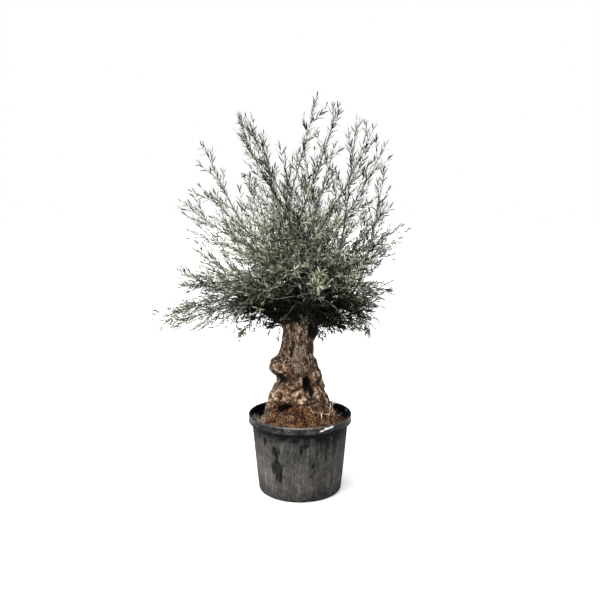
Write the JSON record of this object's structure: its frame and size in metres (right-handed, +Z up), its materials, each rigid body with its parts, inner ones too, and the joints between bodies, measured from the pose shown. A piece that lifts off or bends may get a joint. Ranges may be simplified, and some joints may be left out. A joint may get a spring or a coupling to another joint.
{
  "type": "potted olive tree",
  "caption": "Old olive tree with a burled trunk and a wide fan of long leafy shoots, standing in a round nursery pot.",
  "frame": {"origin": "centre of the pot's flat underside", "axes": "+Z up the trunk; -Y is the front, the side with the burled face and the soil banked up to the rim"},
  "size_m": [1.4349, 1.2839, 2.249],
  "materials": {
    "pot_plastic": "dusty black moulded plastic with a smoother bluish black collar",
    "bark_mulch": "loose reddish brown bark and fibre mulch",
    "olive_bark": "rough grey brown bark with paler tan burls",
    "olive_leaf": "grey green leathery leaves, silvery below, on thin grey shoots",
    "dry_straw": "pale dry stalk"
  },
  "bodies": {
    "root": {"bough_01": "olive_leaf", "bough_02": "olive_leaf", "bough_03": "olive_leaf", "bough_04": "olive_leaf", "bough_05": "olive_leaf", "bough_06": "olive_leaf", "bough_07": "olive_leaf", "bough_08": "olive_leaf", "bough_09": "olive_leaf", "bough_10": "olive_leaf", "bough_11": "olive_leaf", "bough_12": "olive_leaf", "bough_13": "olive_leaf", "bough_14": "olive_leaf", "bough_15": "olive_leaf", "bough_16": "olive_leaf", "bough_17": "olive_leaf", "bough_18": "olive_leaf", "bough_19": "olive_leaf", "bough_20": "olive_leaf", "bough_21": "olive_leaf", "bough_22": "olive_leaf", "bough_23": "olive_leaf", "bough_24": "olive_leaf", "bough_25": "olive_leaf", "bough_26": "olive_leaf", "bough_27": "olive_leaf", "bough_28": "olive_leaf", "bough_29": "olive_leaf", "bough_30": "olive_leaf", "bough_31": "olive_leaf", "bough_32": "olive_leaf", "bough_33": "olive_leaf", "bough_34": "olive_leaf", "bough_35": "olive_leaf", "bough_36": "olive_leaf", "bough_37": "olive_leaf", "bough_38": "olive_leaf", "bough_39": "olive_leaf", "bough_40": "olive_leaf", "bough_41": "olive_leaf", "bough_42": "olive_leaf", "bough_43": "olive_leaf", "bough_44": "olive_leaf", "bough_45": "olive_leaf", "bough_46": "olive_leaf", "dry_stalk_1": "dry_straw", "dry_stalk_2": "dry_straw", "dry_stalk_3": "dry_straw", "pot": "pot_plastic", "soil": "bark_mulch", "trunk": "olive_bark"}
  },
  "joints": []
}
